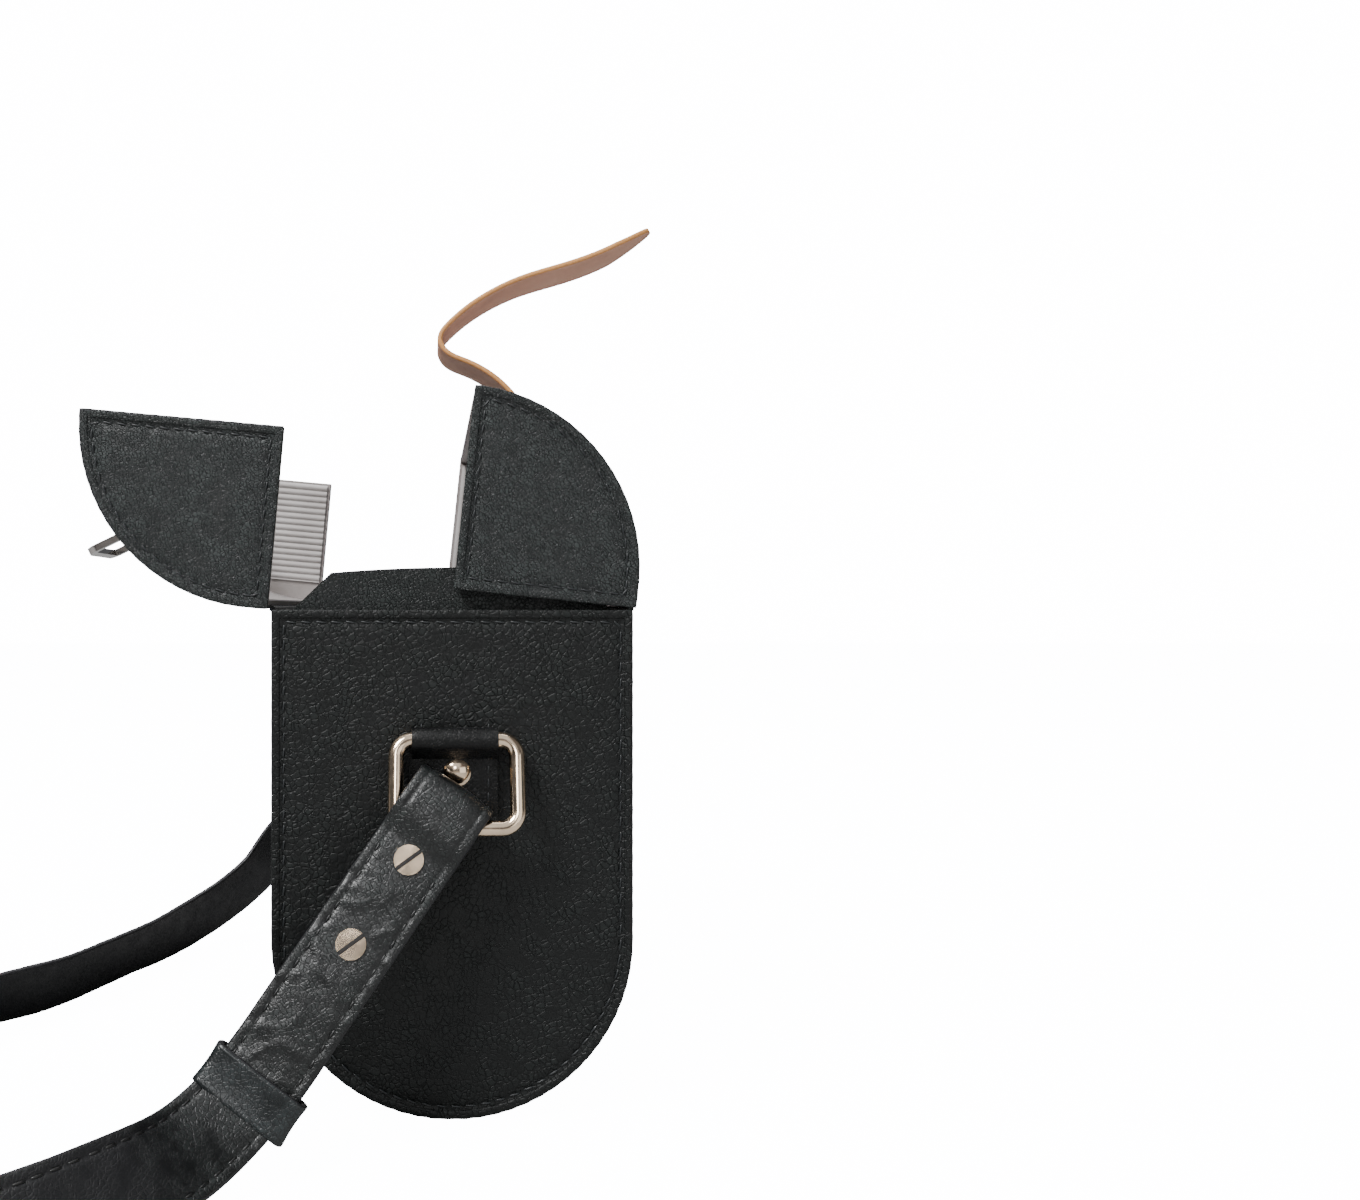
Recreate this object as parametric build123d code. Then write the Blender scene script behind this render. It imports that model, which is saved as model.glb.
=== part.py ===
from build123d import *
import os
from math import acos, atan2, cos, hypot, radians, sin, sqrt

# Structured leather box bag with a capsule-shaped end profile: a deep body with a
# rounded bottom, two quarter-round lids hinged on its front and back walls, a leather
# closing tab with a metal loop, and a shoulder strap on two rings.
# Millimetres. +X points from the front wall to the back wall, +Y from the near end
# panel to the far one, +Z up. The origin is the middle of the rounded bottom.

# ---- overall sizes ----
body_width = 106.0
body_length = 157.0
mouth_height = 149.4
lid_height = 60.0

# ---- sheet materials ----
leather = 1.2
board = 1.2
lining = 0.4
rib_panel = 1.0

# ---- lids and hinges ----
lid_overhang = 1.0
lid_lift = 0.9
centre_gap = 0.3
hinge_bead_radius = 0.9
hinge_clearance = 0.35
hinge_sheet = 0.35
hinge_leaf_depth = 12.0
hinge_end_gap = 8.0
front_lid_open = 84.8
back_lid_open = 6.0
rib_panel_depth = 42.0
rib_panel_margin = 1.0

# ---- edge bindings ----
binding_width = 3.0
binding_thickness = 0.6
binding_proud = 0.3

# ---- collars inside the mouth ----
collar_thickness = 2.0
collar_rise = 12.8
collar_depth = 24.0
collar_side_gap = 2.6
collar_shoulder_run = 11.6
collar_crown = 1.6
lid_to_collar_gap = 0.4

# ---- rings and the leather tabs that hold them ----
ring_width = 39.6
ring_height = 30.0
ring_wire = 4.6
ring_corner = 7.2
ring_offset = 1.2
ring_bar_height = 111.8
ring_tilt = 18.0
ring_tab_width = 25.0
ring_tab_offset = 0.8
ring_tab_leather = 1.1
ring_tab_bottom = 87.0
ring_clearance = 0.2

# ---- rivets through the ring tabs ----
rivet_offset = 1.4
rivet_height = 102.0
rivet_head_radius = 4.0
rivet_head_rise = 1.6
rivet_shank_radius = 1.6
washer_radius = 4.5
washer_thickness = 0.8
shank_clearance = 0.05

# ---- shoulder strap ----
strap_width = 24.4
strap_leather = 2.0
strap_end_gap = 0.3
wire_clearance = 0.3
near_strap_slope = 55.2
far_strap_slope = 45.0
far_strap_ahead = -10.7
near_end_length = 104.6
far_end_length = 66.0
tail_length = 62.0
far_strap_lead = 3.0
strap_layer_gap = 0.25
strap_stations = 72

# ---- strap screws: the first one's place on the ring plane, and distances from the fold ----
first_screw_x = -12.4
first_screw_down = 34.4
screw_first = 25.0
screw_spacing = 27.4
screw_head_radius = 4.2
screw_head_thickness = 1.2
screw_shank_radius = 1.5
screw_slot_width = 1.1
screw_slot_depth = 0.6
screw_slot_turn = -20.0
post_radius = 2.3

# ---- keeper that slides on the strap ----
keeper_leather = 2.2
keeper_clearance = 0.6
keeper_length = 11.6
keeper_place = 97.9

# ---- closing loop on the front lid ----
loop_angle = 31.0
loop_width = 31.0
loop_height = 24.0
loop_bar = 2.7
loop_thickness = 2.4
loop_corner = 4.0
loop_plate_length = 46.0
loop_plate_width = 9.0
loop_plate_thickness = 1.2
loop_seat_gap = 0.3
loop_rivet_radius = 1.2
loop_rivet_head = 2.6
loop_rivet_rise = 0.8

# ---- closing tab on the back lid ----
tab_width = 24.0
tab_leather = 1.8
tab_seat_gap = 0.3
tab_leave_angle = 36.9
tab_root_sweep = 23.0
tab_flex_gap = 0.5
tab_tip_half = 1.0
tab_point_length = 16.0

# ---- worked-out values ----
half_width = body_width / 2
half_length = body_length / 2
shell = leather + board + lining
hinge_x = half_width + lid_overhang
lid_base = mouth_height + lid_lift
hinge_z = mouth_height + lid_lift / 2
lid_radius = hinge_x - centre_gap
lid_straight = lid_height - lid_radius
lid_centre = lid_base + lid_straight
collar_base_half = half_width - shell - collar_side_gap
collar_top_half = collar_base_half - collar_shoulder_run
collar_face = half_length - shell - rib_panel - lid_to_collar_gap
wire_radius = ring_wire / 2
ring_bar_out = ring_tab_leather + ring_clearance + wire_radius
strap_fold_radius = wire_radius + wire_clearance + strap_leather
front_axis = Axis((-hinge_x, 0, hinge_z), (0, -1, 0))
back_axis = Axis((hinge_x, 0, hinge_z), (0, 1, 0))

pieces = {}


# ---- helpers ----
def prism(face, y_low, y_high):
    """Stretches a face drawn in X and Z from y_low to y_high."""
    plane = Plane((0, y_high, 0), x_dir=(1, 0, 0), z_dir=(0, -1, 0))
    return extrude(plane * face, amount=y_high - y_low)


def rod(centre, direction, radius, length):
    """A round bar that starts at centre and runs along direction."""
    plane = Plane(centre, z_dir=direction)
    return extrude(plane * Circle(radius), amount=length)


def corners(place, across, half, thickness, along):
    """The four corner points of a strip's section."""
    normal = along.cross(across).normalized() * (thickness / 2)
    side = across * half
    return [place - side - normal, place + side - normal, place + side + normal, place - side + normal]


def strip(stations, thickness):
    """A closed flat strip through stations of (place, across, half width, along)."""
    rings = [corners(p, a, h, thickness, t) for p, a, h, t in stations]
    triangles = []
    for low, high in zip(rings, rings[1:]):
        for i in range(2):
            j = i + 1
            triangles += [(low[i], low[j], high[j]), (low[i], high[j], high[i])]
        for i in range(2, 4):
            j = (i + 1) % 4
            triangles += [(low[i], low[j], high[i]), (low[j], high[j], high[i])]
    first, last = rings[0], rings[-1]
    triangles += [(first[0], first[2], first[1]), (first[0], first[3], first[2])]
    triangles += [(last[0], last[1], last[2]), (last[0], last[2], last[3])]
    faces = [Face(Wire.make_polygon([Vector(*p) for p in t], close=True)) for t in triangles]
    solid = Solid(Shell(faces))
    return solid if solid.volume > 0 else Solid(Shell([-face for face in faces]))


# ---- body ----
def body_outline(inset):
    """The end profile: a round bottom under straight walls, open line at the mouth."""
    side = half_width - inset
    walls = Pos(0, (half_width + mouth_height) / 2) * Rectangle(2 * side, mouth_height - half_width)
    return walls + Pos(0, half_width) * Circle(side)


def body_wall(outer, inner, end):
    """One layer of the front wall, bottom and back wall in a single bent sheet."""
    return prism(body_outline(outer) - body_outline(inner), -half_length + end, half_length - end)


def rivet_hole():
    """The bore for a tab rivet, through both end panels."""
    at = (rivet_offset, -half_length - washer_radius * 4, rivet_height)
    return rod(at, (0, 1, 0), rivet_shank_radius + shank_clearance, body_length + washer_radius * 8)


def make_body():
    pieces["body_wall_leather"] = body_wall(0, leather, leather)
    pieces["body_wall_board"] = body_wall(leather, leather + board, leather)
    pieces["body_wall_lining"] = body_wall(leather + board, shell, leather + board)
    bore = rivet_hole()
    for side, name in ((-1, "near"), (1, "far")):
        layers = (
            ("leather", 0, 0, leather),
            ("board", leather + board, leather, leather + board),
            ("lining", shell, leather + board, shell),
        )
        for layer, inset, start, stop in layers:
            low, high = sorted((side * (half_length - start), side * (half_length - stop)))
            pieces[f"{name}_end_{layer}"] = prism(body_outline(inset), low, high) - bore
        frame = body_outline(-binding_proud) - trimmed_outline(binding_width)
        low, high = sorted((side * half_length, side * (half_length + binding_thickness)))
        pieces[f"{name}_edge_binding"] = prism(frame, low, high)


def trimmed_outline(inset):
    """The end profile drawn in on every side, its mouth edge too."""
    cut = Pos(0, mouth_height) * Rectangle(2 * body_width, 2 * inset)
    return body_outline(inset) - cut


# ---- collars ----
def collar_outline(bottom):
    """A plate with sloping shoulders and a slightly domed top."""
    shoulder = mouth_height + collar_rise - collar_crown
    left, right = (-collar_top_half, shoulder), (collar_top_half, shoulder)
    sides = Polyline(left, (-collar_base_half, mouth_height), (-collar_base_half, bottom),
                     (collar_base_half, bottom), (collar_base_half, mouth_height), right)
    crown = ThreePointArc(right, (0, mouth_height + collar_rise), left)
    return make_face(sides + crown)


def make_collars():
    bottom = mouth_height - collar_depth
    foot = Pos(0, (bottom + mouth_height) / 2) * Rectangle(2 * collar_base_half, collar_depth)
    for side, name in ((-1, "near"), (1, "far")):
        low, high = sorted((side * collar_face, side * (collar_face - collar_thickness)))
        plate = prism(collar_outline(bottom), low, high)
        low, high = sorted((side * (half_length - shell), side * collar_face))
        pieces[f"{name}_collar"] = plate + prism(foot, low, high)


# ---- hinges ----
def make_hinges():
    """Each hinge is a strip glued inside the wall, laid over the rim and rolled to a bead."""
    inner = half_width - shell
    span = half_length - hinge_end_gap
    leaf_face = Pos(-inner + hinge_sheet / 2, mouth_height - hinge_leaf_depth / 2)
    leaf = leaf_face * Rectangle(hinge_sheet, hinge_leaf_depth)
    web_width = hinge_x - inner + hinge_sheet
    web = Pos(-inner + hinge_sheet - web_width / 2, mouth_height + hinge_sheet / 2)
    web = web * Rectangle(web_width, hinge_sheet)
    bead = Pos(-hinge_x, hinge_z) * Circle(hinge_bead_radius)
    hinge = prism(leaf + web + bead, -span, span)
    pieces["front_hinge_strip"] = hinge
    pieces["back_hinge_strip"] = mirror(hinge, about=Plane.YZ)


# ---- lids, drawn closed as the front lid, then mirrored and swung open ----
def lid_outline(inset):
    """A quarter-round hood: open at its base and at the centre plane."""
    radius = lid_radius - inset
    top = (-centre_gap, lid_centre + radius)
    middle = (-centre_gap - radius * cos(radians(45)), lid_centre + radius * sin(radians(45)))
    outer = (-centre_gap - radius, lid_centre)
    sides = Polyline(outer, (outer[0], lid_base), (-centre_gap, lid_base), top)
    return make_face(sides + ThreePointArc(top, middle, outer))


def lid_frame_outline():
    """The lid's outline drawn in on all sides, for the inside of its binding."""
    inner = lid_outline(binding_width)
    base_cut = Pos(0, lid_base) * Rectangle(4 * hinge_x, 2 * binding_width)
    centre_cut = Pos(-centre_gap, lid_base) * Rectangle(2 * binding_width, 4 * lid_height)
    return inner - base_cut - centre_cut


def rib_outline():
    """The ribbed lining panel: from the centre side towards the hinge."""
    reach = rib_panel_depth / 2
    window = Pos(-centre_gap - rib_panel_margin - reach, lid_centre) * Rectangle(2 * reach, 4 * lid_height)
    base_cut = Pos(0, lid_base) * Rectangle(4 * hinge_x, 2 * rib_panel_margin)
    return (lid_outline(shell + rib_panel_margin) & window) - base_cut


def lid_pieces():
    """Every layer of one lid in its closed place, by its name without the lid's own."""
    wall = {
        "leather": (0, leather, leather),
        "board": (leather, leather + board, leather),
        "lining": (leather + board, shell, leather + board),
    }
    made = {}
    for layer, (outer, inner, end) in wall.items():
        section = lid_outline(outer) - lid_outline(inner)
        made[layer] = prism(section, -half_length + end, half_length - end)
    bindings, ribs = [], []
    for side, name in ((-1, "near"), (1, "far")):
        layers = (
            ("leather", 0, 0, leather),
            ("board", leather + board, leather, leather + board),
            ("lining", shell, leather + board, shell),
        )
        for layer, inset, start, stop in layers:
            low, high = sorted((side * (half_length - start), side * (half_length - stop)))
            made[f"{name}_{layer}"] = prism(lid_outline(inset), low, high)
        low, high = sorted((side * half_length, side * (half_length + binding_thickness)))
        bindings.append(prism(lid_outline(0) - lid_frame_outline(), low, high))
        low, high = sorted((side * (half_length - shell), side * (half_length - shell - rib_panel)))
        ribs.append(prism(rib_outline(), low, high))
    made["bindings"] = bindings
    made["rib_panels"] = ribs
    return made


def cleared(piece):
    """A lid piece with room cut for the hinge bead."""
    start = (-hinge_x, -body_length, hinge_z)
    return piece - rod(start, (0, 1, 0), hinge_bead_radius + hinge_clearance, 2 * body_length)


def put_lid(name, made, swing):
    """Clears a lid's pieces for the bead, then swings them to their place at rest."""
    for layer, piece in made.items():
        group = piece if isinstance(piece, list) else [piece]
        solids = [swing(cleared(part)) for part in group]
        key = name if layer == "leather" else f"{name}_{layer}"
        pieces[f"{name}_wall_leather" if key == name else key] = solids


def swing_front(part):
    return part.rotate(front_axis, front_lid_open)


def swing_back(part):
    return mirror(part, about=Plane.YZ).rotate(back_axis, back_lid_open)


# ---- closing loop ----
def make_loop():
    """A flat-bar loop on a riveted plate, standing square to the front lid's curve."""
    turn = radians(90 + loop_angle)
    out = Vector(cos(turn), 0, sin(turn))
    seat_radius = lid_radius + loop_seat_gap
    seat = Vector(-centre_gap, 0, lid_centre) + out * seat_radius
    plane = Plane(origin=seat, x_dir=(0, 1, 0), z_dir=out)
    plate = extrude(plane * RectangleRounded(loop_plate_length, loop_plate_width, 3), amount=loop_plate_thickness)
    foot = seat + out * loop_plate_thickness
    standing = Plane(origin=foot, x_dir=(0, 1, 0), z_dir=Vector(0, 1, 0).cross(out) * -1)
    if standing.y_dir.dot(out) < 0:
        standing = Plane(origin=foot, x_dir=(0, -1, 0), z_dir=Vector(0, 1, 0).cross(out) * -1)
    frame = RectangleRounded(loop_width, loop_height, loop_corner)
    window = RectangleRounded(loop_width - 2 * loop_bar, loop_height - 2 * loop_bar, loop_corner - loop_bar)
    loop = extrude(standing * (Pos(0, loop_height / 2) * (frame - window)), amount=loop_thickness / 2, both=True)
    rivets, bores = [], []
    reach = seat_radius + loop_plate_thickness - lid_radius + shell
    offset = (loop_plate_length - loop_plate_width) / 2
    for side in (-1, 1):
        top = foot + Vector(0, side * offset, 0)
        shank = rod(top, out * -1, loop_rivet_radius, reach)
        head = rod(top, out, loop_rivet_head, loop_rivet_rise)
        clench = rod(top - out * (reach + loop_rivet_rise), out, loop_rivet_head, loop_rivet_rise - loop_seat_gap)
        rivets.append(shank + head + rod(top - out * reach, out * -1, loop_rivet_radius, loop_seat_gap) + clench)
        bore = rod(top + out, out * -1, loop_rivet_radius + shank_clearance, reach + 2)
        bores.append(bore)
        plate = plate - bore
    return plate, loop, rivets, bores


# ---- closing tab ----
def tab_stations(points, point_length):
    """Stations along a smooth curve in X and Z, narrowing to a point at its end."""
    curve = Spline(*[Vector(x, 0, z) for x, z in points])
    count = 44
    length = curve.length
    stations = []
    for k in range(count + 1):
        share = k / count
        left = (1 - share) * length
        half = tab_width / 2
        if point_length and left < point_length:
            half = tab_tip_half + (half - tab_tip_half) * sqrt(left / point_length)
        stations.append((curve @ share, Vector(0, 1, 0), half, curve % share))
    return stations


def make_tab():
    """The tab is sewn to the back lid's curve, leaves it on a tangent and stands in an S."""
    turn = radians(back_lid_open)
    centre_x = hinge_x - lid_radius * cos(turn) + (lid_centre - hinge_z) * sin(turn)
    centre_z = hinge_z + lid_radius * sin(turn) + (lid_centre - hinge_z) * cos(turn)
    seat = lid_radius + tab_seat_gap + tab_leather / 2

    def on_curve(angle):
        return (centre_x + seat * cos(radians(angle)), centre_z + seat * sin(radians(angle)))

    count = 8
    sewn = [on_curve(tab_leave_angle - tab_root_sweep * (1 - k / count)) for k in range(count + 1)]
    pieces["tab_root"] = strip(tab_stations(sewn, 0), tab_leather)
    leave_x, leave_z = on_curve(tab_leave_angle)
    along = (-sin(radians(tab_leave_angle)), cos(radians(tab_leave_angle)))
    start = (leave_x + along[0] * tab_flex_gap, leave_z + along[1] * tab_flex_gap)
    free = [(-12.0, 15.9), (-25.7, 34.1), (-39.3, 42.6), (-46.6, 46.6), (-48.2, 50.2), (-44.6, 56.2),
            (-33.0, 65.2), (-20.0, 71.6), (-5.2, 76.2), (14.2, 83.6), (28.0, 92.0)]
    route = [start] + [(leave_x + x, leave_z + z) for x, z in free]
    pieces["closing_tab"] = strip(tab_stations(route, tab_point_length), tab_leather)


# ---- rings, ring tabs and strap ends, drawn for the near end and mirrored for the far ----
near_ring_plane = Plane(
    origin=(0, -half_length - ring_bar_out, ring_bar_height),
    x_dir=(1, 0, 0),
    z_dir=(0, -cos(radians(ring_tilt)), sin(radians(ring_tilt))),
)


def make_ring():
    """A round-wire rectangle whose top bar lies on the ring plane's X axis."""
    width = ring_width - ring_wire
    height = ring_height - ring_wire
    shape = Pos(ring_offset, -height / 2) * RectangleRounded(width, height, ring_corner - wire_radius)
    path = near_ring_plane * shape.wire()
    start = path @ 0
    section = Plane(origin=start, z_dir=path % 0) * Circle(wire_radius)
    return sweep(section, path=path)


def make_ring_tab():
    """A strip folded over the ring's top bar, closed and riveted below it."""
    out = -half_length - ring_bar_out
    fold = ring_bar_out
    front = -half_length - 2 * ring_tab_leather
    meet = (front, rivet_height + rivet_head_radius)
    reach = hypot(meet[0] - out, meet[1] - ring_bar_height)
    lean = atan2(meet[1] - ring_bar_height, meet[0] - out) - acos(fold / reach)
    touch = (out + fold * cos(lean), ring_bar_height + fold * sin(lean))
    outline = Polyline((-half_length, ring_bar_height), (-half_length, ring_tab_bottom),
                       (front, ring_tab_bottom), meet, touch, (out, ring_bar_height), close=True)
    plane = Plane(origin=(ring_tab_offset - ring_tab_width / 2, 0, 0), x_dir=(0, 1, 0), z_dir=(1, 0, 0))
    bar = Pos(out, ring_bar_height)
    section = make_face(outline) + bar * Circle(fold) - bar * Circle(wire_radius + ring_clearance)
    folded = extrude(plane * section, amount=ring_tab_width)
    return folded - rivet_hole()


def make_rivet():
    """A dome-headed rivet from the ring tab's face to its washer inside the body."""
    face = -half_length - 2 * ring_tab_leather
    inside = -half_length + shell
    ball = (rivet_head_radius**2 + rivet_head_rise**2) / (2 * rivet_head_rise)
    head = Pos(rivet_offset, face - rivet_head_rise + ball, rivet_height) * Sphere(ball)
    keep = rod((rivet_offset, face - 2 * ball, rivet_height), (0, 1, 0), 2 * ball, 2 * ball)
    shank = rod((rivet_offset, face, rivet_height), (0, 1, 0), rivet_shank_radius, inside - face + washer_thickness)
    disc = rod((rivet_offset, inside, rivet_height), (0, 1, 0), washer_radius, washer_thickness)
    washer = disc - rod((rivet_offset, inside - 1, rivet_height), (0, 1, 0), rivet_shank_radius + shank_clearance, 9)
    return (head & keep) + shank, washer


def down_strap(slope):
    """The strap's direction on the ring plane."""
    return Vector(-cos(radians(slope)), -sin(radians(slope)), 0)


def corner_offset():
    """From the ring's corner centre to the strap's fold: along the strap and across it."""
    corner = Vector(ring_offset - ring_width / 2 + ring_corner, ring_corner + wire_radius - ring_height, 0)
    along = down_strap(near_strap_slope)
    fold = Vector(first_screw_x, -first_screw_down, 0) - along * screw_first
    return corner, (fold - corner).dot(along), (fold - corner).dot(along.cross(Vector(0, 0, 1)))


def strap_plane(slope, ahead, aside):
    """X runs down the strap from its fold, Y across it, Z out of the bag."""
    along = down_strap(slope)
    corner = corner_offset()[0]
    fold = corner + along * ahead + along.cross(Vector(0, 0, 1)) * aside
    origin = near_ring_plane.from_local_coords(fold)
    beyond = near_ring_plane.from_local_coords(fold + along)
    return Plane(origin=origin, x_dir=beyond - origin, z_dir=near_ring_plane.z_dir)


def make_strap_end(plane, length, ahead):
    """The strap folded round the ring and doubled back, with bores for its posts."""
    far_wire = ring_corner - wire_radius - ahead
    loop_middle = (strap_fold_radius + far_wire) / 2
    outer = Pos(loop_middle, 0) * SlotCenterToCenter(far_wire - strap_fold_radius, 2 * strap_fold_radius)
    inner_height = 2 * (wire_radius + wire_clearance)
    inner = Pos(loop_middle, 0) * SlotCenterToCenter(far_wire - strap_fold_radius, inner_height)
    tail = Pos((far_wire + length) / 2, 0) * Rectangle(length - far_wire, 2 * strap_leather)
    section = outer + tail - inner
    side = Plane(origin=plane.from_local_coords(Vector(0, strap_width / 2, 0)), x_dir=plane.x_dir,
                 z_dir=plane.y_dir * -1)
    if side.y_dir.dot(plane.z_dir) < 0:
        section = mirror(section, about=Plane.XZ)
    solid = extrude(side * section, amount=strap_width)
    for place in (screw_first, screw_first + screw_spacing):
        start = plane.from_local_coords(Vector(place, 0, -4 * strap_leather))
        solid = solid - rod(start, plane.z_dir, post_radius + shank_clearance, 8 * strap_leather)
        seat = plane.from_local_coords(Vector(place, 0, strap_leather))
        solid = solid - rod(seat, plane.z_dir, screw_head_radius + shank_clearance, 3 * strap_leather)
        back_seat = plane.from_local_coords(Vector(place, 0, -strap_leather))
        solid = solid - rod(back_seat, plane.z_dir * -1, screw_head_radius + shank_clearance, 3 * strap_leather)
    return solid


def make_screws(plane):
    """Two-part screws: a hollow post from behind and a slotted screw from the front."""
    screws, posts = [], []
    for place in (screw_first, screw_first + screw_spacing):
        front = plane.from_local_coords(Vector(place, 0, strap_leather))
        back = plane.from_local_coords(Vector(place, 0, -strap_leather))
        head = rod(front, plane.z_dir, screw_head_radius, screw_head_thickness)
        slot_at = plane.from_local_coords(Vector(place, 0, strap_leather + screw_head_thickness - screw_slot_depth))
        slot_plane = Plane(origin=slot_at, x_dir=plane.x_dir, z_dir=plane.z_dir)
        slot = slot_plane * (Rot(0, 0, screw_slot_turn) * Rectangle(4 * screw_head_radius, screw_slot_width))
        head = head - extrude(slot, amount=2 * screw_slot_depth)
        shank = rod(front, plane.z_dir * -1, screw_shank_radius, 1.5 * strap_leather)
        screws.append(head + shank)
        sleeve = rod(back, plane.z_dir, post_radius, 2 * strap_leather)
        bore = rod(back, plane.z_dir, screw_shank_radius + shank_clearance, 4 * strap_leather)
        post_head = rod(back, plane.z_dir * -1, screw_head_radius, screw_head_thickness)
        posts.append(post_head + (sleeve - bore))
    return screws, posts


def make_keeper(plane):
    """A flat leather band that wraps both layers of the strap with room to slide."""
    inner_width = strap_width + 2 * keeper_clearance
    inner_height = 2 * strap_leather + 2 * keeper_clearance
    at = plane.from_local_coords(Vector(keeper_place - keeper_length / 2, 0, 0))
    across = Plane(origin=at, x_dir=plane.y_dir, z_dir=plane.x_dir)
    outer = RectangleRounded(inner_width + 2 * keeper_leather, inner_height + 2 * keeper_leather, keeper_leather)
    band = outer - RectangleRounded(inner_width, inner_height, keeper_leather / 4)
    return extrude(across * band, amount=keeper_length)


def far(piece):
    """A near-end piece turned into its far-end twin."""
    return mirror(piece, about=Plane.XZ)


def far_vector(vector):
    return Vector(vector.X, -vector.Y, vector.Z)


# ---- the strap between its two folded ends ----
# Route of the single strap: a place in the bag's frame and which way its upper edge lies.
# It is drawn for a bag of the width and length below, and moves out with the bag's walls.
route_half_width = 53.0
route_half_length = 78.5
strap_route = [
    ((-64.8, -121.5, 14.8), (-0.74, 0.24, 0.63)),
    ((-76.0, -138.5, 13.6), (-0.50, 0.36, 0.79)),
    ((-89.0, -151.5, 12.9), (-0.32, 0.33, 0.89)),
    ((-103.0, -163.0, 12.5), (-0.25, 0.35, 0.90)),
    ((-122.0, -169.0, 12.3), (-0.08, 0.33, 0.94)),
    ((-146.0, -169.0, 12.4), (0.06, 0.34, 0.94)),
    ((-170.0, -157.0, 12.4), (0.22, 0.26, 0.94)),
    ((-186.0, -132.0, 12.4), (0.32, 0.11, 0.94)),
    ((-191.0, -100.0, 12.4), (0.34, 0.0, 0.94)),
    ((-185.0, -66.0, 12.3), (0.34, -0.11, 0.93)),
    ((-173.0, -38.0, 12.3), (0.40, -0.16, 0.90)),
    ((-157.4, -10.9, 12.0), (0.50, -0.20, 0.84)),
    ((-146.7, 0.1, 11.9), (0.46, -0.20, 0.87)),
    ((-136.8, 16.5, 12.0), (0.42, -0.20, 0.89)),
    ((-123.2, 44.2, 12.6), (0.38, -0.27, 0.89)),
    ((-108.0, 79.0, 14.5), (0.03, -0.45, 0.89)),
    ((-84.5, 100.0, 30.2), (-0.22, -0.60, 0.77)),
    ((-66.1, 103.5, 49.4), (-0.50, -0.40, 0.74)),
]


def route_place(place):
    """A place on the strap's route, stretched to the bag's own width and length."""
    x, y, z = place
    return Vector(x * half_width / route_half_width, y * half_length / route_half_length, z)


def make_strap_middle(near_plane, far_plane):
    lift = strap_leather / 2
    near_start = near_plane.from_local_coords(Vector(near_end_length + strap_end_gap, 0, lift))
    far_start = far_vector(far_plane.from_local_coords(Vector(far_end_length + strap_end_gap, 0, lift)))
    near_up = near_plane.y_dir if near_plane.y_dir.Z > 0 else near_plane.y_dir * -1
    far_up = far_plane.y_dir if far_plane.y_dir.Z > 0 else far_plane.y_dir * -1
    far_lead = far_start + far_vector(far_plane.x_dir) * far_strap_lead
    places = [near_start] + [route_place(p) for p, _ in strap_route] + [far_lead, far_start]
    uppers = [near_up] + [Vector(*u) for _, u in strap_route] + [far_vector(far_up)] * 2
    curve = Spline(*places)
    shares = [curve.param_at_point(p) for p in places]
    count = strap_stations
    stations = []
    for k in range(count + 1):
        share = k / count
        span = max(i for i in range(len(shares) - 1) if shares[i] <= share + 1e-9)
        part = (share - shares[span]) / (shares[span + 1] - shares[span])
        upper = uppers[span] * (1 - part) + uppers[span + 1] * part
        along = (curve % share).normalized()
        if k in (0, count):
            along = near_plane.x_dir if k == 0 else far_vector(far_plane.x_dir) * -1
        across = (upper - along * upper.dot(along)).normalized()
        stations.append((curve @ share, across, strap_width / 2, along))
    pieces["strap_middle"] = strip(stations, strap_leather)
    behind = []
    reach = int(count * tail_length / curve.length)
    side = -1 if stations[0][3].cross(near_up).dot(near_plane.z_dir) > 0 else 1
    for place, across, half, along in stations[: reach + 1]:
        inward = along.cross(across).normalized() * side
        behind.append((place + inward * (strap_leather + strap_layer_gap), across, half, along))
    pieces["strap_tail"] = strip(behind, strap_leather)


def make_strap():
    near_ahead, near_aside = corner_offset()[1:]
    near_plane = strap_plane(near_strap_slope, near_ahead, near_aside)
    far_plane = strap_plane(far_strap_slope, far_strap_ahead, 0)
    pieces["near_ring"] = make_ring()
    pieces["far_ring"] = far(pieces["near_ring"])
    pieces["near_ring_tab"] = make_ring_tab()
    pieces["far_ring_tab"] = far(pieces["near_ring_tab"])
    rivet, washer = make_rivet()
    pieces["ring_tab_rivets"] = [rivet, far(rivet)]
    pieces["rivet_washers"] = [washer, far(washer)]
    pieces["near_strap_end"] = make_strap_end(near_plane, near_end_length, near_ahead)
    pieces["far_strap_end"] = far(make_strap_end(far_plane, far_end_length, far_strap_ahead))
    screws, posts = make_screws(near_plane)
    pieces["near_strap_screws"] = screws
    pieces["near_strap_posts"] = posts
    screws, posts = make_screws(far_plane)
    pieces["far_strap_screws"] = [far(s) for s in screws]
    pieces["far_strap_posts"] = [far(p) for p in posts]
    pieces["strap_keeper"] = make_keeper(near_plane)
    make_strap_middle(near_plane, far_plane)


make_body()
make_collars()
make_hinges()
front = lid_pieces()
plate, loop, rivets, bores = make_loop()
for layer in ("leather", "board", "lining"):
    for bore in bores:
        front[layer] = front[layer] - bore
front["closing_loop"] = loop
put_lid("front_lid", front, swing_front)
put_lid("back_lid", lid_pieces(), swing_back)
pieces["closing_loop"] = pieces.pop("front_lid_closing_loop")
pieces["loop_plate"] = swing_front(plate)
pieces["loop_rivets"] = [swing_front(r) for r in rivets]
make_tab()
make_strap()

os.makedirs("parts", exist_ok=True)
for name, piece in pieces.items():
    group = piece if isinstance(piece, list) else [piece]
    solids = [solid for part in group for solid in part.solids()]
    export_step(solids[0] if len(solids) == 1 else Compound(children=solids), f"parts/{name}.step")
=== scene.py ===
from math import cos, hypot, pi, radians, sin, sqrt

import bmesh
import bpy
import numpy as np
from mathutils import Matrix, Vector, noise


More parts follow.
